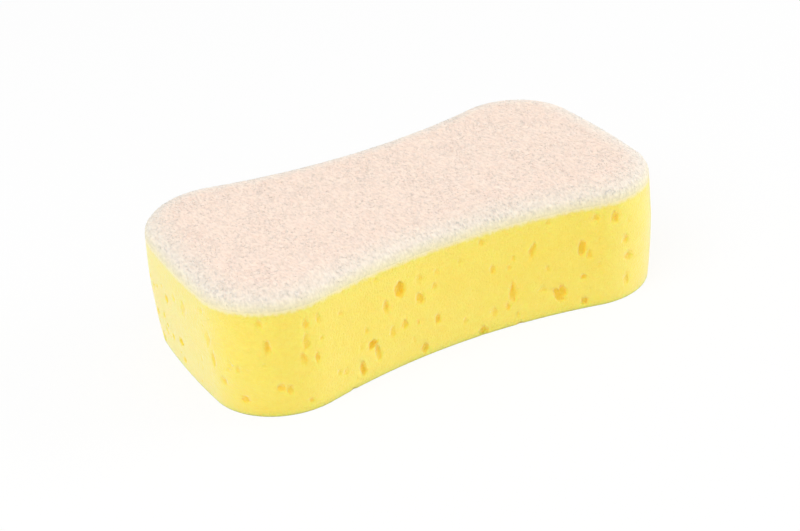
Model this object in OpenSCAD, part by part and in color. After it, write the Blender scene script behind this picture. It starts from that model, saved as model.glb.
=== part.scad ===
// Cleaning sponge: a block of open-celled foam with a fibre scouring pad bonded
// to its top, both cut to one hourglass outline. The origin is on the underside,
// at the middle of the outline, with the length along X and Z up.

/* [Outline] */
// Length over the two bowed ends
sponge_length = 150; // [110:1:200]
// Width over the rounded lobes at each end
sponge_width = 81; // [66:1:110]
// How far each long side is drawn in at its middle, for the fingers
grip_depth = 7; // [2:0.5:12]
// How far each end bows out
end_bow = 3; // [1:0.5:8]
// Radius of the four rounded corners
corner_radius = 22; // [14:0.5:28]

/* [Layers] */
// Height of the foam block
foam_height = 34.5; // [20:0.5:60]
// Thickness of the scouring pad
pad_thickness = 5; // [3:0.25:10]
// Upright band left round the pad under its rounded edge
pad_band = 0.8; // [0.4:0.1:2]
// How far in from the side the pad's edge starts to round over
pad_round = 6; // [2:0.5:10]

/* [Pores] */
// Size of every open pore, as a share of its usual size
pore_scale = 1; // [0.7:0.05:1.3]
// Spots tried for small pores round the walls
wall_spots = 60; // [0:1:90]
// Spots tried for small pores on the underside
base_spots = 40; // [0:1:60]
// Width of the smallest of the small pores
pore_min = 1; // [0.8:0.1:1.4]
// Width of the largest of the small pores
pore_max = 2; // [1.6:0.1:2.6]
// Foam left whole between a pore and the next, or the edge of the block
pore_wall = 0.6; // [0.4:0.1:1]

/* [Hidden] */

half_length = sponge_length / 2;
half_width = sponge_width / 2;

// The outline is eight arcs that meet at a tangent: two grips, four corners and two ends.
end_radius = (pow(half_width, 2) + pow(end_bow, 2)) / (2 * end_bow);
end_x = half_length - end_radius;
corner_y = half_width - corner_radius;
corner_x = end_x + sqrt(pow(end_radius - corner_radius, 2) - pow(corner_y, 2));
grip_radius = (pow(corner_x, 2) + pow(grip_depth, 2)) / (2 * grip_depth) - corner_radius;
grip_y = half_width - grip_depth + grip_radius;

// Directions from the centre of the +X +Y corner to where it meets the end and the grip
to_end = atan2(corner_y, corner_x - end_x);
to_grip = atan2(grip_y - corner_y, -corner_x);
corner_turn = to_grip - to_end;
grip_turn = 180 - 2 * to_grip;

// Each arc, once round the outline from the front grip: centre, radius, first direction
// and turn. A grip turns the other way, because it curves inwards.
ARCS = [
    [[0, -grip_y], grip_radius, to_grip, grip_turn],
    [[corner_x, -corner_y], corner_radius, -to_grip, corner_turn],
    [[end_x, 0], end_radius, -to_end, 2 * to_end],
    [[corner_x, corner_y], corner_radius, to_end, corner_turn],
    [[0, grip_y], grip_radius, to_grip - 180, grip_turn],
    [[-corner_x, corner_y], corner_radius, 180 - to_grip, corner_turn],
    [[-end_x, 0], end_radius, 180 - to_end, 2 * to_end],
    [[-corner_x, -corner_y], corner_radius, 180 + to_end, corner_turn]
];
function is_grip(arc) = arc[3] < 0;
function arc_length(arc) = arc[1] * abs(arc[3]) * PI / 180;
function total(values, i = 0) = i == len(values) ? 0 : values[i] + total(values, i + 1);
outline_length = total([for (arc = ARCS) arc_length(arc)]);

// The spot a share of the way along an arc that is drawn in by an inset, and the direction
// out there
function on_arc(arc, share, inset = 0) =
    let (turned = arc[2] + share * arc[3])
    let (radius = is_grip(arc) ? arc[1] + inset : arc[1] - inset)
    [
        arc[0].x + radius * cos(turned),
        arc[0].y + radius * sin(turned),
        is_grip(arc) ? turned + 180 : turned
    ];

// The same for a spot a distance along the outline from the start of its first arc
function on_outline(along, i = 0) =
    along > arc_length(ARCS[i]) && i < len(ARCS) - 1
        ? on_outline(along - arc_length(ARCS[i]), i + 1)
        : on_arc(ARCS[i], along / arc_length(ARCS[i]));

// How far a chord of the outline may lie from its arc
chord_gap = 0.02;
// Slopes in the pad's rounded edge
round_steps = 8;

// The outline drawn in by an inset, as points. Each arc is cut into even chords, and into as
// many of them at every inset.
function outline_points(inset = 0) = [
    for (arc = ARCS)
        let (chords = ceil(arc_length(arc) / sqrt(8 * arc[1] * chord_gap)))
        for (i = [0:chords - 1])
            let (spot = on_arc(arc, i / chords, inset))
            [spot.x, spot.y]
];

// A skin over rings of points, each as long as the last, with a flat face at both ends
module loft(rings) {
    around = len(rings[0]);
    top = (len(rings) - 1) * around;
    polyhedron(
        points = [for (ring = rings) each ring],
        faces = concat(
            [[for (i = [0:around - 1]) i], [for (i = [1:around]) top + around - i]],
            [
                for (ring = [0:len(rings) - 2], i = [0:around - 1])
                    let (low = ring * around, next = (i + 1) % around)
                    [low + i, low + around + i, low + around + next, low + next]
            ]
        )
    );
}

// The largest pores, where big bubbles were cut open: along the outline from the middle of
// the front grip, in hundredths of its length; up, in hundredths of the foam's height; then
// width and height in millimetres, and lean to the left in degrees.
LARGE_PORES = [
    [-23.6, 75, 2.4, 5.0, 0], [-20.0, 66, 2.0, 5.0, 0], [-19.6, 46, 1.6, 4.6, 0],
    [-18.8, 29, 2.2, 2.2, 0], [-17.3, 16, 2.6, 2.6, 0], [-15.2, 69, 1.8, 4.0, 0],
    [-14.6, 29, 2.4, 2.4, 0], [-12.7, 67, 2.6, 4.4, 0], [-11.9, 49, 1.6, 3.6, 0],
    [-8.2, 38, 1.8, 3.8, 0], [-8.2, 15, 2.2, 4.6, 8], [-7.2, 34, 2.8, 2.8, 0],
    [-5.9, 65, 2.2, 4.2, 0], [-5.5, 38, 2.0, 3.8, 0], [-4.7, 75, 3.4, 4.8, 0],
    [-3.1, 77, 2.6, 3.4, 0], [-3.1, 60, 2.6, 3.8, 0], [-2.9, 9, 2.4, 3.4, 0],
    [-1.8, 33, 2.2, 3.6, 0], [2.8, 63, 2.0, 3.2, 0], [4.3, 34, 2.4, 6.4, 0],
    [5.9, 71, 2.2, 5.0, -20], [7.7, 21, 4.0, 5.4, 20], [9.7, 63, 2.6, 4.8, 0],
    [10.2, 53, 2.0, 3.6, 0], [12.2, 86, 2.2, 3.6, 0], [13.2, 42, 2.0, 3.0, 0],
    [13.0, 20, 2.0, 3.6, 0]
];

// Steps of three series that spread numbers evenly from 0 to 1: places, then sizes
ALONG_STEP = 0.754878;
UP_STEP = 0.569840;
SIZE_STEP = 0.618034;
// How far the middle of a pore lies inside the surface, as a share of its width
PORE_SINK = 0.15;
PORE_FACETS = 32;

// A pore is [along, up, width, height, lean] on the walls, and [x, y, width, width, 0] on
// the underside.
function part_of(x) = x - floor(x);
function pore_reach(pore) = max(pore[2], pore[3]) / 2;

// The foam between two pores, on a surface that comes back on itself after a length
function foam_between(a, b, round_length) =
    let (dx = abs(a[0] - b[0]))
    norm([round_length > 0 ? min(dx, round_length - dx) : dx, a[1] - b[1]])
        - pore_reach(a) - pore_reach(b);
function is_clear(pore, kept, round_length) =
    len([for (other = kept) if (foam_between(pore, other, round_length) < pore_wall) 1]) == 0;

// Keeps each pore that leaves enough foam to all the pores kept before it
function spaced_out(pores, round_length, kept = [], i = 0) =
    i == len(pores)
        ? kept
        : spaced_out(
            pores,
            round_length,
            is_clear(pores[i], kept, round_length) ? concat(kept, [pores[i]]) : kept,
            i + 1
        );

// A small pore at the i-th of a series of spots that fill a length and a height evenly
function small_pore(i, length, height) =
    let (across = pore_min + (pore_max - pore_min) * pow(part_of(i * SIZE_STEP), 2))
    let (width = across * pore_scale)
    [part_of(i * ALONG_STEP) * length, part_of(i * UP_STEP) * height, width, width, 0];

// Moves a pore up or down until it is clear of the top and bottom of the foam
function within_foam(pore) =
    let (edge = pore_reach(pore) + pore_wall)
    [pore[0], max(edge, min(foam_height - edge, pore[1])), pore[2], pore[3], pore[4]];

// The large pores are met twice, half the way round from each other, with small ones between.
WALL_PORES = spaced_out(
    concat(
        [
            for (start = [0, 50], pore = LARGE_PORES)
                within_foam([
                    part_of((start + pore[0]) / 100) * outline_length,
                    pore[1] / 100 * foam_height,
                    pore[2] * pore_scale,
                    pore[3] * pore_scale,
                    pore[4]
                ])
        ],
        [for (i = [1:1:wall_spots]) within_foam(small_pore(i, outline_length, foam_height))]
    ),
    outline_length
);

// True if a pore on the underside leaves enough foam to the outline all round
function inside_outline(pore) =
    let (x = abs(pore[0]), y = abs(pore[1]), edge = pore_reach(pore) + 2 * pore_wall)
    norm([x, grip_y - y]) > grip_radius + edge
        && norm([x - end_x, y]) < end_radius - edge
        && y < half_width - edge
        && (x < corner_x || y < corner_y
            || norm([x - corner_x, y - corner_y]) < corner_radius - edge);

BASE_PORES = spaced_out(
    [
        for (i = [1:1:base_spots])
            let (pore = small_pore(i, sponge_length, sponge_width))
            let (spot = [pore[0] - half_length, pore[1] - half_width, pore[2], pore[3], 0])
            if (inside_outline(spot)) spot
    ],
    0
);

// One pore: a hollow that opens to +Z, wider inside than at its mouth. One that is longer
// than wide is a chain of bubbles along X, in an egg's outline, that run into each other.
module pore_hollow(width, height) {
    bubbles = height > width ? 2 * round(height / width) + 1 : 1;
    reach = (height - width * width / height) / 2;
    translate([0, 0, -PORE_SINK * width])
        for (i = [0:bubbles - 1]) {
            x = bubbles > 1 ? reach * (2 * i / (bubbles - 1) - 1) : 0;
            narrowing = x == 0 ? 1 : sqrt(1 - 4 * x * x / (height * height - width * width));
            translate([x, 0, 0]) sphere(d = width * narrowing, $fn = PORE_FACETS);
        }
}

module wall_pores() {
    half_grip = arc_length(ARCS[0]) / 2;
    for (pore = WALL_PORES) {
        share = part_of((half_grip + pore[0]) / outline_length);
        spot = on_outline(share * outline_length);
        translate([spot.x, spot.y, pore[1]])
            rotate([0, 0, spot[2]])
                rotate([pore[4], 0, 0])
                    rotate([0, 90, 0])
                        pore_hollow(pore[2], pore[3]);
    }
}

module base_pores() {
    for (pore = BASE_PORES)
        translate([pore[0], pore[1], 0])
            mirror([0, 0, 1])
                pore_hollow(pore[2], pore[3]);
}

// The block of foam, cut to the outline so that its bubbles lie open on every side
module foam_block() {
    color("#FAE26C")
        difference() {
            linear_extrude(foam_height) polygon(outline_points());
            wall_pores();
            base_pores();
        }
}

// The pad of matted fibre, bonded flat to the foam: an upright band, and over it a quarter
// of an ellipse that rounds the edge
module scouring_pad() {
    drop = pad_thickness - pad_band;
    profile = concat(
        [[0, 0]],
        [
            for (i = [0:round_steps])
                let (turn = 90 * i / round_steps)
                [pad_round * (1 - cos(turn)), pad_band + drop * sin(turn)]
        ]
    );
    color("#F3E5D6")
        translate([0, 0, foam_height])
            loft([
                for (level = profile)
                    [for (spot = outline_points(level[0])) [spot.x, spot.y, level[1]]]
            ]);
}

foam_block();
scouring_pad();
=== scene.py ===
import math
import random

import bpy
from mathutils import Matrix, Vector, noise
from mathutils.bvhtree import BVHTree


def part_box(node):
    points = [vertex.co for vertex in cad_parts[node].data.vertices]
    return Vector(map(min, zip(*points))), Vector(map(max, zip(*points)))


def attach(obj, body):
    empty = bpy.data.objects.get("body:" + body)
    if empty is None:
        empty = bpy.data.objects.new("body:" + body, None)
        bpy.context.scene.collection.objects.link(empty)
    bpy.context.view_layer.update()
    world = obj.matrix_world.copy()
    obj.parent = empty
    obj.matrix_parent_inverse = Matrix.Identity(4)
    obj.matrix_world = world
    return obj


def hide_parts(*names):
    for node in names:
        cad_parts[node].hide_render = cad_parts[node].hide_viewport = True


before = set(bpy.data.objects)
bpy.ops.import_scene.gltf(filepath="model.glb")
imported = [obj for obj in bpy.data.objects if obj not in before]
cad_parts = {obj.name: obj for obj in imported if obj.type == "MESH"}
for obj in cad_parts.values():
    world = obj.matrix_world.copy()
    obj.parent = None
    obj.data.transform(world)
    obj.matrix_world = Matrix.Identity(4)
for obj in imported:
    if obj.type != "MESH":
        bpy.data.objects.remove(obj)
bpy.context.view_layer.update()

# ---------------------------------------------------------------------------
# Camera: a long lens at about half a metre, looking down on the left end and
# the front of the sponge, and tipped a little to one side.
# ---------------------------------------------------------------------------
MM = 0.001
camera_azimuth = math.radians(-26.31)
camera_height = math.radians(28.81)
camera_tip = math.radians(-4.98)
camera_distance = 527.8 * MM
camera_target = Vector((-9.65, -16.05, 22)) * MM

camera_back = Vector((
    math.sin(camera_azimuth) * math.cos(camera_height),
    -math.cos(camera_azimuth) * math.cos(camera_height),
    math.sin(camera_height),
))
camera_right = Vector((math.cos(camera_azimuth), math.sin(camera_azimuth), 0))
camera_turn = Matrix((
    camera_right,
    camera_back.cross(camera_right),
    camera_back,
)).transposed() @ Matrix.Rotation(camera_tip, 3, "Z")

bpy.ops.object.select_all(action="DESELECT")
bpy.ops.object.camera_add(
    location=camera_target + camera_back * camera_distance,
    rotation=camera_turn.to_euler(),
)
camera = bpy.context.object
camera.name = "camera"
camera.data.lens = 79.55
bpy.context.scene.camera = camera

# ---------------------------------------------------------------------------
# Foam block: one slice of soft yellow foam, cut to an hourglass outline so that
# the fingers grip its waist. Its cut faces bulge a little, and lie open wherever
# the knife met a bubble.
# ---------------------------------------------------------------------------
foam_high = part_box("foam_block")[1]
half_length = foam_high.x
half_width = foam_high.y
foam_top = foam_high.z
grip_depth = 7 * MM
end_bow = 3 * MM
corner_radius = 22 * MM

# The outline is eight arcs that meet at a tangent: two grips, four corners and two ends.
end_radius = (half_width**2 + end_bow**2) / (2 * end_bow)
end_x = half_length - end_radius
corner_y = half_width - corner_radius
corner_x = end_x + math.sqrt((end_radius - corner_radius) ** 2 - corner_y**2)
grip_radius = (corner_x**2 + grip_depth**2) / (2 * grip_depth) - corner_radius
grip_y = half_width - grip_depth + grip_radius
to_end = math.atan2(corner_y, corner_x - end_x)
to_grip = math.atan2(grip_y - corner_y, -corner_x)

# Each arc, once round from the front grip: centre, radius, first direction and turn.
# A grip turns the other way, because it curves inwards.
corner_turn = to_grip - to_end
grip_turn = math.pi - 2 * to_grip
outline_arcs = [
    ((0, -grip_y), grip_radius, to_grip, grip_turn),
    ((corner_x, -corner_y), corner_radius, -to_grip, corner_turn),
    ((end_x, 0), end_radius, -to_end, 2 * to_end),
    ((corner_x, corner_y), corner_radius, to_end, corner_turn),
    ((0, grip_y), grip_radius, to_grip - math.pi, grip_turn),
    ((-corner_x, corner_y), corner_radius, math.pi - to_grip, corner_turn),
    ((-end_x, 0), end_radius, math.pi - to_end, 2 * to_end),
    ((-corner_x, -corner_y), corner_radius, math.pi + to_end, corner_turn),
]
outline_length = sum(radius * abs(turn) for centre, radius, start, turn in outline_arcs)
front_grip_length = grip_radius * abs(grip_turn)


def on_outline(along):
    """The spot a distance to the right of the middle of the front grip, and the direction out."""
    along = (along + front_grip_length / 2) % outline_length
    for (x, y), radius, start, turn in outline_arcs:
        if along <= radius * abs(turn):
            break
        along -= radius * abs(turn)
    direction = start + along / radius * math.copysign(1, turn)
    spot = Vector((x + radius * math.cos(direction), y + radius * math.sin(direction), 0))
    return spot, direction if turn > 0 else direction + math.pi


def depth_inside(x, y):
    """How far inside the outline a spot lies, and less than nothing outside it."""
    x, y = abs(x), abs(y)
    if to_end < math.atan2(y - corner_y, x - corner_x) < to_grip:
        return corner_radius - math.hypot(x - corner_x, y - corner_y)
    return min(
        end_radius - math.hypot(x - end_x, y),
        math.hypot(x, grip_y - y) - grip_radius,
    )


def add_outline_face(name, height, spacing):
    """A flat face in the outline, left in edit mode: one point is spun round each arc in turn."""
    first_spot = on_outline(-front_grip_length / 2)[0]
    first_spot.z = height
    bpy.ops.object.select_all(action="DESELECT")
    bpy.ops.mesh.primitive_plane_add(size=MM, location=first_spot)
    piece = bpy.context.object
    piece.name = name
    bpy.ops.object.transform_apply()
    bpy.ops.object.mode_set(mode="EDIT")
    bpy.ops.mesh.merge(type="CENTER")
    for (x, y), radius, start, turn in outline_arcs:
        steps = math.ceil(radius * abs(turn) / spacing)
        bpy.ops.mesh.spin(steps=steps, angle=-turn, center=(x, y, height), axis=(0, 0, 1))
    bpy.ops.mesh.select_all(action="SELECT")
    bpy.ops.mesh.remove_doubles(threshold=0.01 * MM)
    bpy.ops.mesh.edge_face_add()
    return piece


# The wall rises in courses. Each is a little wider or narrower than the last, so that the
# side is fullest near its middle and drawn in at the underside, where the edge is soft.
foam_belly = 0.5 * MM
foam_foot = 0.6 * MM
foam_courses = 22
foam_facet = 1.4 * MM


def foam_swell(height):
    """How far the side of the block stands out from the outline at a height."""
    belly = foam_belly * math.sin(math.pi * height / foam_top)
    return belly - foam_foot * (1 - height / foam_top) ** 2


foam = add_outline_face("foam_block_open_celled", 0, foam_facet)
swell = foam_swell(0)
bpy.ops.transform.resize(
    value=(1 + swell / half_length, 1 + swell / half_width, 1), center_override=(0, 0, 0)
)
for course in range(1, foam_courses + 1):
    bpy.ops.mesh.extrude_region_move(
        TRANSFORM_OT_translate={"value": (0, 0, foam_top / foam_courses)}
    )
    step = foam_swell(course * foam_top / foam_courses) - swell
    swell += step
    bpy.ops.transform.resize(
        value=(1 + step / half_length, 1 + step / half_width, 1), center_override=(0, 0, 0)
    )
bpy.ops.mesh.select_all(action="SELECT")
bpy.ops.mesh.normals_make_consistent(inside=False)
bpy.ops.object.mode_set(mode="OBJECT")

# The knife's way is unsteady: a broad wave with a fine one on it, in millimetres.
broad_wave, broad_wave_length = 0.35, 16 * MM
fine_wave, fine_wave_length = 0.14, 5 * MM


def foam_wave(place):
    """How far the knife's unsteady way moves a spot of the wall in or out."""
    broad = broad_wave * noise.noise(place / broad_wave_length)
    fine = fine_wave * noise.noise(place / fine_wave_length)
    return (broad + fine) * MM * math.sin(math.pi * place.z / foam_top)


for vertex in foam.data.vertices:
    out = Vector((vertex.co.x / half_length, vertex.co.y / half_width, 0))
    vertex.co += foam_wave(vertex.co) * out

# The open bubbles of the front and the left end: along the outline to the right of the
# middle of the front grip, up from the underside, width, height, lean to the left in
# degrees, and how much of the bubble the knife left, from 0.4 for a dimple to 1.
open_bubbles = [
    (-19.7, 26.0, 3.4, 4.8, 0, 1.0), (-25.0, 22.3, 2.2, 4.2, 0, 0.8), (-13.0, 26.6, 2.6, 3.6, 0, 0.4),
    (-13.2, 20.6, 2.6, 3.8, 0, 0.8), (-8.0, 22.7, 1.6, 2.2, 0, 0.7), (-6.7, 27.0, 2.0, 2.4, 0, 0.4),
    (-7.5, 11.3, 2.2, 3.6, 0, 0.8), (-23.3, 13.0, 2.0, 3.8, 0, 0.7), (-19.0, 13.9, 2.6, 3.0, 0, 0.7),
    (-14.4, 12.6, 1.3, 2.0, 0, 0.7), (-30.8, 12.0, 3.4, 2.4, 45, 0.9), (-28.9, 8.3, 1.9, 5.2, 8, 0.9),
    (-32.7, 17.6, 1.6, 2.6, 0, 0.6), (-34.8, 13.0, 1.8, 3.8, 0, 0.4), (-34.6, 5.2, 2.2, 4.6, 8, 1.0),
    (-41.0, 7.2, 1.8, 2.4, 0, 0.5), (-43.4, 8.3, 1.4, 2.0, 0, 0.6), (-53.5, 22.9, 2.4, 5.0, 0, 0.6),
    (-50.5, 16.9, 1.6, 3.6, 0, 0.9), (-54.8, 18.2, 2.2, 4.6, 12, 0.6), (-48.6, 22.5, 1.4, 1.8, 0, 0.6),
    (-49.0, 29.3, 1.8, 3.0, 0, 0.6), (-53.1, 29.0, 2.0, 3.8, 0, 0.6), (-41.0, 27.0, 2.0, 2.4, 0, 0.4),
    (-27.6, 32.0, 1.8, 1.8, 0, 0.4), (-12.4, 2.8, 2.4, 3.4, 0, 0.8), (1.8, 6.8, 1.8, 2.4, 0, 0.4),
    (7.8, 1.5, 2.6, 2.8, 0, 0.8), (11.6, 6.6, 2.0, 3.0, 0, 0.4), (18.0, 11.5, 2.4, 6.4, 0, 0.8),
    (16.3, 7.3, 1.8, 3.0, 0, 0.7), (11.8, 21.8, 2.0, 3.2, 0, 0.7), (1.1, 28.0, 1.8, 3.0, 0, 0.4),
    (8.6, 31.6, 2.0, 2.4, 0, 0.7), (18.7, 23.5, 1.4, 2.4, 0, 0.7), (17.1, 20.5, 1.4, 2.0, 0, 0.7),
    (25.0, 24.6, 2.2, 5.0, -20, 0.8), (29.6, 17.2, 1.6, 2.4, 0, 0.6), (27.9, 10.2, 2.4, 1.6, 0, 0.4),
    (32.9, 6.9, 2.5, 5.6, 29, 1.0), (34.3, 7.7, 2.5, 4.4, 0, 1.0), (41.5, 2.6, 2.4, 2.6, 0, 0.8),
    (41.2, 11.4, 2.2, 2.0, 0, 0.7), (40.9, 21.4, 2.8, 5.4, 0, 0.9), (43.0, 18.8, 2.0, 3.6, 0, 0.7),
    (45.6, 30.8, 2.0, 2.6, 0, 0.7), (51.6, 29.6, 2.5, 4.2, 0, 0.8), (55.3, 20.9, 2.2, 2.6, 0, 0.6),
    (56.3, 14.4, 2.6, 3.2, 0, 0.6), (55.6, 6.4, 2.4, 4.4, 0, 0.6), (30.4, 32.2, 2.0, 2.0, 0, 0.4),
    (46.3, 14.2, 1.6, 2.4, 0, 0.4), (-64.4, 23.7, 1.8, 4.0, 0, 0.9), (-66.0, 31.4, 1.8, 2.8, 0, 0.6),
    (-83.0, 15.9, 1.6, 4.6, 0, 0.7), (-73.7, 15.8, 1.2, 2.0, 0, 0.6), (-79.5, 10.1, 2.0, 2.4, 0, 0.6),
    (-73.0, 5.5, 2.6, 2.6, 0, 0.7), (-61.8, 10.0, 2.4, 2.6, 0, 0.7), (-59.5, 8.7, 2.4, 3.0, 0, 0.7),
    (-53.7, 3.4, 2.0, 2.0, 0, 0.6), (-84.5, 22.8, 2.0, 5.0, 0, 0.4), (-100.0, 26.0, 2.4, 5.0, 0, 0.4),
    (20.3, 0.3, 1.6, 1.0, 0, 0.6), (-38.5, 0.2, 1.4, 0.9, 0, 0.6),
]

# The knife met bubbles all round and below, at random and mostly small. Each size, in
# millimetres, comes with how often it is tried. The stretch of wall that is listed above has
# its larger bubbles already, so only dimples are added there.
chance = random.Random(7)
bubble_gap = 0.5 * MM
listed_from, listed_to = -105, 75
wall_tries = ((3.2, 30), (2.4, 60), (1.8, 90), (1.2, 120), (0.8, 100))
base_tries = ((3.2, 30), (2.4, 50), (1.8, 80), (1.2, 120), (0.8, 100))
size_spread = (0.75, 1.1)
wall_tallness = (1.0, 1.2, 1.5, 1.9)
base_tallness = (1.0, 1.1, 1.3)
most_lean = 14
parts_left = (0.4, 0.6, 0.8, 1.0)
edge_margin = 0.8
underside_margin = 1
largest_dimple = 1.3


def leaves_foam(bubble, others, spread=1):
    """True if a bubble leaves some foam between it and each of the others, all in millimetres."""
    for other in others:
        across = abs(bubble[0] - other[0]) * MM
        apart = math.hypot(min(across, outline_length - across), (bubble[1] - other[1]) * MM)
        reach = (max(bubble[2:4]) + max(other[2:4])) / 2 * spread * MM
        if apart < reach + bubble_gap:
            return False
    return True


wall_bubbles = list(open_bubbles)
for size, tries in wall_tries:
    for attempt in range(tries):
        width = size * chance.uniform(*size_spread)
        height = width * chance.choice(wall_tallness)
        bubble = (
            chance.uniform(-outline_length / 2, outline_length / 2) / MM,
            chance.uniform(height / 2 + edge_margin, foam_top / MM - height / 2 - edge_margin),
            width, height, chance.uniform(-most_lean, most_lean), chance.choice(parts_left),
        )
        listed_here = listed_from < bubble[0] < listed_to
        is_dimple = size < largest_dimple and bubble[5] == min(parts_left)
        if leaves_foam(bubble, wall_bubbles) and (is_dimple or not listed_here):
            wall_bubbles.append(bubble)

base_bubbles = []
for size, tries in base_tries:
    for attempt in range(tries):
        width = size * chance.uniform(*size_spread)
        x = chance.uniform(-half_length, half_length)
        y = chance.uniform(-half_width, half_width)
        bubble = (
            x / MM, y / MM, width, width * chance.choice(base_tallness),
            chance.uniform(0, 180), chance.choice(parts_left),
        )
        is_inside = depth_inside(x, y) > (width + underside_margin) * MM
        if is_inside and leaves_foam(bubble, base_bubbles):
            base_bubbles.append(bubble)

# A few rough bubbles are modelled, coarse ones for the small and then fine ones for the
# large, and each open bubble is cut by a copy of one.
large_bubble = 2.3
rough_kinds = 4
bubble_roughness = 0.26
lumps_in_radius = 1.3
lump_shift = 5
bubble_shapes = []
for rough in range(2 * rough_kinds):
    bpy.ops.object.select_all(action="DESELECT")
    bpy.ops.mesh.primitive_ico_sphere_add(subdivisions=3 + rough // rough_kinds, radius=1)
    bubble_shape = bpy.context.object
    for vertex in bubble_shape.data.vertices:
        lump = noise.noise(vertex.co * lumps_in_radius + Vector((rough * lump_shift, 0, 0)))
        vertex.co *= 1 + bubble_roughness * lump
    bubble_shapes.append(bubble_shape)

# A bubble rose while the foam set, so it is narrower at its top. The skin round its mouth
# has sunk a little, which leaves a soft lip.
bubble_taper = 0.22
lip_depth = 0.4
lip_flare = 0.42

# Shares of the mouth's width and height. The mouth lies out beyond the bubble's middle where
# most of the bubble was left, and short of the middle for a dimple.
depth_share = 0.14
half_width_share = 0.52
half_height_share = 0.51
left_at_middle = 0.75
turn_between_bubbles = 2.4


def add_cutter(number, bubble, surface):
    """The hollow of one bubble. Surface has the bubble's place, +X out of the foam and +Z up."""
    width, tall, lean, left = bubble[2:]
    depth = width * (depth_share + depth_share * left)
    mouth = left - left_at_middle
    kind = number % rough_kinds + (rough_kinds if width > large_bubble else 0)
    cutter = bubble_shapes[kind].copy()
    cutter.data = cutter.data.copy()
    cutter.data.transform(Matrix.Rotation(number * turn_between_bubbles, 4, "X"))
    for vertex in cutter.data.vertices:
        lip = max(0, (vertex.co.x - mouth) / lip_depth + 1)
        flare = 1 + lip_flare * min(lip, 1) ** 2
        vertex.co.y *= flare * (1 - bubble_taper * vertex.co.z)
        vertex.co.z *= flare
    cutter.data.transform(
        surface
        @ Matrix.Translation((-depth * mouth * MM, 0, 0))
        @ Matrix.Rotation(math.radians(lean), 4, "X")
        @ Matrix.Diagonal(
            (depth * MM, width * half_width_share * MM, tall * half_height_share * MM, 1)
        )
    )
    bpy.context.scene.collection.objects.link(cutter)
    return cutter


# The underside's bubbles are listed far along from the wall's, so that none of them count
# as neighbours.
underside_along = 1000
cutters = []
for number, bubble in enumerate(wall_bubbles):
    spot, direction = on_outline(bubble[0] * MM)
    spot.z = bubble[1] * MM
    stands_out = foam_swell(spot.z) + foam_wave(spot)
    spot += stands_out * Vector((math.cos(direction), math.sin(direction), 0))
    surface = Matrix.Translation(spot) @ Matrix.Rotation(direction, 4, "Z")
    cutters.append((bubble, add_cutter(number, bubble, surface)))
for number, bubble in enumerate(base_bubbles):
    surface = Matrix.Translation((bubble[0] * MM, bubble[1] * MM, 0)) @ Matrix.Rotation(
        math.radians(90), 4, "Y"
    )
    listed_as = (underside_along + bubble[0], *bubble[1:])
    cutters.append((listed_as, add_cutter(number, bubble, surface)))
for bubble_shape in bubble_shapes:
    bpy.data.objects.remove(bubble_shape)


def new_material(name):
    """A new material, and the shader of its surface."""
    material = bpy.data.materials.new(name)
    material.use_nodes = True
    return material, material.node_tree.nodes["Principled BSDF"]


def add_node(material, kind, inputs=None, **settings):
    """A shader node with its settings, and its inputs set or linked from other nodes' outputs."""
    node = material.node_tree.nodes.new(kind)
    for key, value in settings.items():
        setattr(node, key, value)
    for socket, value in (inputs or {}).items():
        if isinstance(value, bpy.types.NodeSocket):
            material.node_tree.links.new(value, node.inputs[socket])
        else:
            node.inputs[socket].default_value = value
    return node


def paint(red, green, blue):
    """A colour as a paint chart gives it, from 0 to 255, in the shader's own scale."""
    shares = [part / 255 for part in (red, green, blue)]
    return [*(s / 12.92 if s <= 0.04045 else ((s + 0.055) / 1.055) ** 2.4 for s in shares), 1]


# The foam is one colour that drifts a little. It is deeper in a bubble, where light has gone
# from wall to wall, and along its top edge the molten bond has drawn fibre down over it.
skin_deep, skin_pale = paint(244, 219, 89), paint(251, 234, 111)
bubble_yellow = paint(255, 208, 54)
bonded_fibre = paint(245, 232, 186)
bond_below, bond_above = 0.9 * MM, 1.0 * MM
bond_raggedness = 1.6 * MM
foam_softness = 0.8
yellow_foam, foam_shader = new_material("yellow_foam")
place = add_node(yellow_foam, "ShaderNodeTexCoord").outputs["Object"]
drift = add_node(
    yellow_foam, "ShaderNodeTexNoise", {"Vector": place, "Scale": 140, "Detail": 4, "Roughness": 0.6}
).outputs["Fac"]
mottle = add_node(
    yellow_foam, "ShaderNodeTexNoise", {"Vector": place, "Scale": 700, "Detail": 2}
).outputs["Fac"]
drift = add_node(
    yellow_foam, "ShaderNodeMath", {0: drift, 1: 0.6, 2: -0.3}, operation="MULTIPLY_ADD"
).outputs[0]
drift = add_node(
    yellow_foam, "ShaderNodeMath", {0: mottle, 1: 0.8, 2: drift},
    operation="MULTIPLY_ADD", use_clamp=True,
).outputs[0]
skin_colour = add_node(
    yellow_foam, "ShaderNodeMix", {0: drift, 6: skin_deep, 7: skin_pale}, data_type="RGBA"
).outputs[2]
bubble_depth = add_node(
    yellow_foam, "ShaderNodeAttribute", attribute_name="bubble_depth"
).outputs["Fac"]
bubble_colour = add_node(
    yellow_foam, "ShaderNodeMix", {0: bubble_depth, 6: skin_colour, 7: bubble_yellow},
    data_type="RGBA",
).outputs[2]
height_here = add_node(yellow_foam, "ShaderNodeSeparateXYZ", {0: place}).outputs["Z"]
ragged = add_node(
    yellow_foam, "ShaderNodeMath", {0: mottle, 1: bond_raggedness, 2: height_here},
    operation="MULTIPLY_ADD",
).outputs[0]
bonded = add_node(
    yellow_foam, "ShaderNodeMapRange",
    {"Value": ragged, "From Min": foam_top - bond_below, "From Max": foam_top + bond_above},
    interpolation_type="SMOOTHSTEP",
).outputs["Result"]
foam_colour = add_node(
    yellow_foam, "ShaderNodeMix", {0: bonded, 6: bubble_colour, 7: bonded_fibre},
    data_type="RGBA",
).outputs[2]
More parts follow.
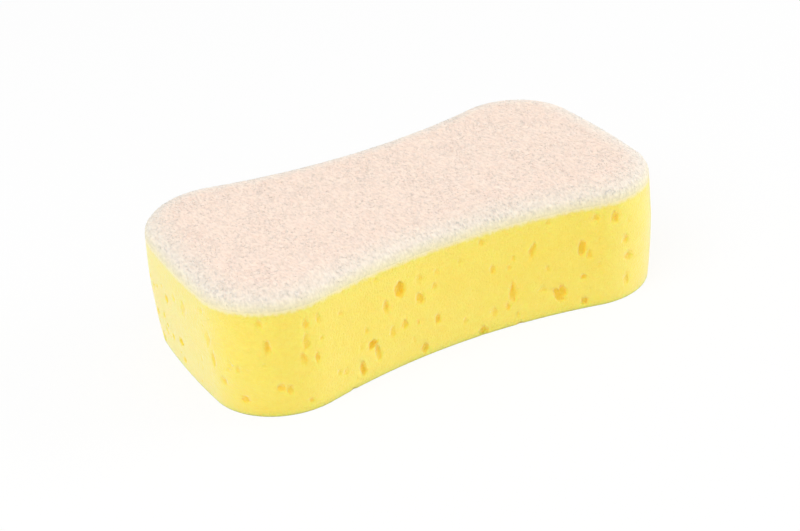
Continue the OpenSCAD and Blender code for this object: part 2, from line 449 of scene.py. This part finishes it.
soft = add_node(
    yellow_foam, "ShaderNodeMath", {0: bonded, 1: -foam_softness, 2: foam_softness},
    operation="MULTIPLY_ADD",
).outputs[0]
cells = add_node(
    yellow_foam, "ShaderNodeTexVoronoi", {"Vector": place, "Scale": 1700}, feature="F1"
).outputs["Distance"]
cell_relief = add_node(
    yellow_foam, "ShaderNodeBump", {"Height": cells, "Distance": 0.25 * MM, "Strength": 0.6}
).outputs["Normal"]
yellow_foam.node_tree.links.new(foam_colour, foam_shader.inputs["Base Color"])
yellow_foam.node_tree.links.new(cell_relief, foam_shader.inputs["Normal"])
yellow_foam.node_tree.links.new(soft, foam_shader.inputs["Subsurface Weight"])
foam_shader.inputs["Roughness"].default_value = 0.9
foam_shader.inputs["Specular IOR Level"].default_value = 0.15
foam_shader.inputs["Sheen Weight"].default_value = 0.7
foam_shader.inputs["Sheen Roughness"].default_value = 0.5
foam_shader.inputs["Subsurface Radius"].default_value = (1, 0.6, 0.2)
foam_shader.inputs["Subsurface Scale"].default_value = 3 * MM
foam.data.materials.append(yellow_foam)

# Cutters that touch go in separate cuts, so that each cut is made with clear shapes only.
while cutters:
    cut, later = [], []
    for bubble, cutter in cutters:
        if leaves_foam(bubble, [other for other, piece in cut], 1 + lip_flare):
            cut.append((bubble, cutter))
        else:
            later.append((bubble, cutter))
    bpy.ops.object.select_all(action="DESELECT")
    for bubble, cutter in cut:
        cutter.select_set(True)
    bpy.context.view_layer.objects.active = cut[0][1]
    bpy.ops.object.join()
    tool = bpy.context.object
    bubble_cut = foam.modifiers.new("open_bubbles", "BOOLEAN")
    bubble_cut.operation = "DIFFERENCE"
    bubble_cut.solver = "MANIFOLD"
    bubble_cut.object = tool
    bpy.context.view_layer.objects.active = foam
    bpy.ops.object.modifier_apply(modifier=bubble_cut.name)
    bpy.data.objects.remove(tool)
    cutters = later

# How deep each point lies in a bubble, from 0 at the skin to 1 at full depth.
full_depth = 0.75 * MM
depths = foam.data.attributes.new("bubble_depth", "FLOAT", "POINT")
for vertex in foam.data.vertices:
    spot = vertex.co
    side_depth = depth_inside(spot.x, spot.y) + foam_swell(spot.z) + foam_wave(spot)
    depth = min(side_depth, spot.z) / full_depth
    depths.data[vertex.index].value = max(0, min(1, depth))

bpy.ops.object.select_all(action="DESELECT")
foam.select_set(True)
bpy.context.view_layer.objects.active = foam
bpy.ops.object.shade_smooth_by_angle(angle=math.radians(50))

# The flat of the underside stays flat between its bubbles.
for face in foam.data.polygons:
    if face.normal.z < -0.999 and face.center.z < 0.01 * MM:
        face.use_smooth = False
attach(foam, "root")
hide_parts("foam_block")

# ---------------------------------------------------------------------------
# Scouring pad: a springy mat of pale crimped fibre, flame-bonded to the foam and
# cut with it. The cut has drawn the fibre down, so that the upper edge is round.
# ---------------------------------------------------------------------------
pad_low, pad_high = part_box("scouring_pad")
pad_band = 0.8 * MM
pad_round = 8.5 * MM
pad_sunk = 0.9 * MM
pad_drop = pad_high.z - pad_low.z - pad_band
pad_facet = 1.5 * MM
rim_courses = 10

pad = add_outline_face("pad_of_matted_fibre", pad_low.z - pad_sunk, pad_facet)
bpy.ops.mesh.extrude_region_move(
    TRANSFORM_OT_translate={"value": (0, 0, pad_sunk + pad_band)}
)
bpy.ops.mesh.select_all(action="SELECT")
bpy.ops.mesh.normals_make_consistent(inside=False)
bpy.ops.mesh.select_all(action="DESELECT")
bpy.ops.object.mode_set(mode="OBJECT")
for face in pad.data.polygons:
    face.select = face.normal.z > 0.99
bpy.ops.object.mode_set(mode="EDIT")
bpy.ops.mesh.select_mode(type="FACE")
for course in range(rim_courses):
    first = math.pi / 2 * course / rim_courses
    last = math.pi / 2 * (course + 1) / rim_courses
    bpy.ops.mesh.inset(
        thickness=pad_round * (math.cos(first) - math.cos(last)),
        depth=pad_drop * (math.sin(last) - math.sin(first)),
    )
bpy.ops.mesh.select_all(action="SELECT")
bpy.ops.mesh.normals_make_consistent(inside=False)
bpy.ops.object.mode_set(mode="OBJECT")
mat_facet = 0.38 * MM
even_mesh = pad.modifiers.new("even_mesh", "REMESH")
even_mesh.mode = "VOXEL"
even_mesh.voxel_size = mat_facet
bpy.ops.object.modifier_apply(modifier=even_mesh.name)

# The bonded underside needs no fine mesh.
bpy.ops.object.mode_set(mode="EDIT")
bpy.ops.mesh.select_all(action="DESELECT")
bpy.ops.object.mode_set(mode="OBJECT")
for face in pad.data.polygons:
    face.select = face.normal.z < -0.99 and face.center.z < pad_low.z - 0.8 * pad_sunk
bpy.ops.object.mode_set(mode="EDIT")
bpy.ops.mesh.select_mode(type="FACE")
bpy.ops.mesh.dissolve_faces()
bpy.ops.object.mode_set(mode="OBJECT")

# The mat lies in small curls and low clumps, heights in millimetres, that come free a little
# way above the foam. The wall that is sunk in the foam is tucked in, clear of the foam's own.
pad_free = 1.6 * MM
pad_tuck = 0.4
curl_height, curl_length = 0.13, 0.75 * MM
clump_height, clump_length = 0.08, 7 * MM
mat_sink = 0.12
mat_surface = BVHTree.FromObject(pad, bpy.context.evaluated_depsgraph_get())
normals = [vertex.normal.copy() for vertex in pad.data.vertices]
for vertex, out in zip(pad.data.vertices, normals):
    buried = (pad_low.z - vertex.co.z) / MM
    if buried > 0:
        vertex.co -= out * min(pad_tuck, buried) * MM
        continue
    curl = noise.noise(vertex.co / curl_length)
    clump = noise.noise(vertex.co / clump_length)
    free = min(1, (vertex.co.z - pad_low.z) / pad_free)
    vertex.co += out * (curl_height * curl + clump_height * clump - mat_sink) * free * MM


# The pad whitens towards its side, over this depth, and yellows down its edge towards the
# foam, over one part in this many of its height.
white_edge = 1.1 * pad_round
yellow_fade = 1.6


def mark_rim(piece):
    """Stores how near each point of a fibre piece is to the pad's side, and to the foam."""
    rim = piece.data.attributes.new("near_side", "FLOAT", "POINT")
    foot = piece.data.attributes.new("near_foam", "FLOAT", "POINT")
    for vertex in piece.data.vertices:
        depth = depth_inside(vertex.co.x, vertex.co.y)
        rim.data[vertex.index].value = max(0, min(1, 1 - depth / white_edge))
        height = (vertex.co.z - pad_low.z) / (pad_high.z - pad_low.z)
        foot.data[vertex.index].value = max(0, min(1, 1 - yellow_fade * height))


fibre_softness = 0.6
strands_in_a_metre = (1500, 620, 900)
comb_turn = math.radians(25)


def fibre_material(name, bright, rim_bright, tinted):
    """Crimped polyester fibre: nearly white at the thin edge, yellowed where it is bonded."""
    material, fibre_shader = new_material(name)
    place = add_node(material, "ShaderNodeTexCoord").outputs["Object"]
    near_side = add_node(material, "ShaderNodeAttribute", attribute_name="near_side").outputs["Fac"]
    near_foam = add_node(material, "ShaderNodeAttribute", attribute_name="near_foam").outputs["Fac"]
    untinted = add_node(
        material, "ShaderNodeMix", {0: near_side, 6: bright, 7: rim_bright}, data_type="RGBA"
    ).outputs[2]
    colour = add_node(
        material, "ShaderNodeMix", {0: near_foam, 6: untinted, 7: tinted}, data_type="RGBA"
    ).outputs[2]
    combed = add_node(
        material, "ShaderNodeMapping",
        {"Vector": place, "Rotation": (0, 0, comb_turn), "Scale": strands_in_a_metre},
    ).outputs["Vector"]
    strands = add_node(
        material, "ShaderNodeTexNoise", {"Vector": combed, "Scale": 1, "Detail": 1, "Roughness": 0.4}
    ).outputs["Fac"]
    # The colour is darker where the strands' relief is low: painted shade between the strands.
    shade = add_node(
        material, "ShaderNodeMapRange",
        {"Value": strands, "From Min": 0.32, "From Max": 0.68, "To Min": 0.87, "To Max": 1.01},
    ).outputs["Result"]
    shaded = add_node(
        material, "ShaderNodeHueSaturation", {"Value": shade, "Color": colour}
    ).outputs["Color"]
    relief = add_node(
        material, "ShaderNodeBump", {"Height": strands, "Distance": 0.3 * MM, "Strength": 0.45}
    ).outputs["Normal"]
    soft = add_node(
        material, "ShaderNodeMath", {0: near_foam, 1: -fibre_softness, 2: fibre_softness},
        operation="MULTIPLY_ADD",
    ).outputs[0]
    material.node_tree.links.new(shaded, fibre_shader.inputs["Base Color"])
    material.node_tree.links.new(relief, fibre_shader.inputs["Normal"])
    material.node_tree.links.new(soft, fibre_shader.inputs["Subsurface Weight"])
    fibre_shader.inputs["Roughness"].default_value = 0.7
    fibre_shader.inputs["Specular IOR Level"].default_value = 0.25
    fibre_shader.inputs["Sheen Weight"].default_value = 0.3
    fibre_shader.inputs["Sheen Roughness"].default_value = 0.5
    fibre_shader.inputs["Subsurface Radius"].default_value = (1, 0.85, 0.75)
    fibre_shader.inputs["Subsurface Scale"].default_value = 0.9 * MM
    return material


# The mat is painted a little darker than the loose fibres that lie on it: painted shade in the gaps
# between them.
matted_fibre = fibre_material(
    "matted_fibre", paint(251, 225, 207), paint(241, 232, 217), paint(243, 231, 186)
)
pad.data.materials.append(matted_fibre)
mark_rim(pad)
for face in pad.data.polygons:
    face.use_smooth = True
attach(pad, "root")
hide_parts("scouring_pad")

# ---------------------------------------------------------------------------
# Crimped fibres: the pad's springy polyester threads, fused to each other where
# they cross. Each comes out of the mat in a small loop, bends over and goes back in.
# ---------------------------------------------------------------------------
# The loose fibres are painted a little lighter than the mat under them: a painted highlight on the
# fibres that stand out of it.
loose_fibre = fibre_material(
    "loose_fibre", paint(253, 230, 213), paint(244, 236, 222), paint(244, 234, 192)
)

# Stride, rise, lean and crimp are in millimetres.
fibre_radius = 0.13 * MM
fibre_points = 4
fibre_stride = (0.3, 0.9)
fibre_rise = (0.36, 0.46)
fibre_lean = (-0.4, 0.4)
fibre_crimp = 0.08
root_depth = 0.5 * MM
fibre_thickness = (0.8, 1.15)
fibres_in_a_layer = 6200
fibre_layers = 3
chance = random.Random(11)
tops = [face for face in pad.data.polygons if face.normal.z > -0.5 and face.center.z > pad_low.z]
areas = [face.area for face in tops]
for layer in range(fibre_layers):
    curve = bpy.data.curves.new(f"crimped_fibres_{layer + 1}", "CURVE")
    curve.dimensions = "3D"
    curve.bevel_depth = fibre_radius
    curve.bevel_resolution = 0
    curve.use_fill_caps = True
    for face in chance.choices(tops, areas, k=fibres_in_a_layer):
        root, out = mat_surface.find_nearest(face.center)[:2]
        along = out.cross(Vector([chance.uniform(-1, 1) for axis in range(3)])).normalized()
        across = out.cross(along)
        stride = chance.uniform(*fibre_stride) * MM
        rise = chance.uniform(*fibre_rise) * MM
        lean = chance.uniform(*fibre_lean) * MM
        fibre = curve.splines.new("POLY")
        fibre.points.add(fibre_points - 1)
        for number, point in enumerate(fibre.points):
            share = number / (fibre_points - 1)
            arch = math.sin(math.pi * share)
            place = (
                root
                + along * (share - 0.5) * stride
                + out * (rise * arch - root_depth)
                + across * (lean * arch + chance.uniform(-fibre_crimp, fibre_crimp) * MM)
            )
            point.co = (*place, 1)
            point.radius = chance.uniform(*fibre_thickness)
    fibres = bpy.data.objects.new(curve.name, curve)
    bpy.context.scene.collection.objects.link(fibres)
    bpy.ops.object.select_all(action="DESELECT")
    fibres.select_set(True)
    bpy.context.view_layer.objects.active = fibres
    bpy.ops.object.convert(target="MESH")
    fibres = bpy.context.object
    fibres.data.materials.append(loose_fibre)
    mark_rim(fibres)
    for face in fibres.data.polygons:
        face.use_smooth = True
    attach(fibres, "root")

# ---------------------------------------------------------------------------
# Floor and light: a white sweep under soft light from all round, with a little
# more from above left and from the right.
# ---------------------------------------------------------------------------
floor_size = 8
bpy.ops.object.select_all(action="DESELECT")
bpy.ops.mesh.primitive_plane_add(size=floor_size, location=(0, 0, 0))
floor = bpy.context.object
floor.name = "white_floor"
white_paper, paper_shader = new_material("white_paper")
paper_shader.inputs["Base Color"].default_value = (0.9, 0.9, 0.9, 1)
paper_shader.inputs["Roughness"].default_value = 0.9
paper_shader.inputs["Specular IOR Level"].default_value = 0.1


def seen_rays(backdrop):
    """A number that is 1 for the rays that see the background, straight or in a reflection."""
    path = add_node(backdrop, "ShaderNodeLightPath")
    seen = path.outputs["Is Camera Ray"]
    for other in ("Is Glossy Ray", "Is Transmission Ray"):
        seen = add_node(
            backdrop, "ShaderNodeMath", {0: seen, 1: path.outputs[other]}, operation="MAXIMUM"
        ).outputs[0]
    return seen


floor_glow = 0.85
glow = add_node(white_paper, "ShaderNodeEmission", {"Color": (1, 1, 1, 1), "Strength": 1})
share = add_node(
    white_paper, "ShaderNodeMath", {0: seen_rays(white_paper), 1: floor_glow}, operation="MULTIPLY"
)
mixed = add_node(
    white_paper, "ShaderNodeMixShader",
    {0: share.outputs[0], 1: paper_shader.outputs[0], 2: glow.outputs[0]},
)
white_paper.node_tree.links.new(
    mixed.outputs[0], white_paper.node_tree.nodes["Material Output"].inputs["Surface"]
)
floor.data.materials.append(white_paper)

world = bpy.data.worlds.new("soft_room")
world.use_nodes = True
bpy.context.scene.world = world
room_light = 0.75
strength = add_node(
    world, "ShaderNodeMapRange",
    {"Value": seen_rays(world), "To Min": room_light, "To Max": 1.0},
)
background = world.node_tree.nodes["Background"]
background.inputs["Color"].default_value = (1, 1, 1, 1)
world.node_tree.links.new(strength.outputs["Result"], background.inputs["Strength"])

for name, place, size, power in (
    ("light_above_left", (-0.55, -0.25, 0.75), 0.7, 3.4),
    ("light_right", (1.0, -0.3, 0.35), 0.7, 4.3),
):
    bpy.ops.object.light_add(type="AREA", location=place)
    lamp = bpy.context.object
    lamp.name = name
    lamp.data.size = size
    lamp.data.energy = power
    lamp.rotation_euler = (-Vector(place)).to_track_quat("-Z", "Y").to_euler()

bpy.context.scene.view_settings.view_transform = "Standard"
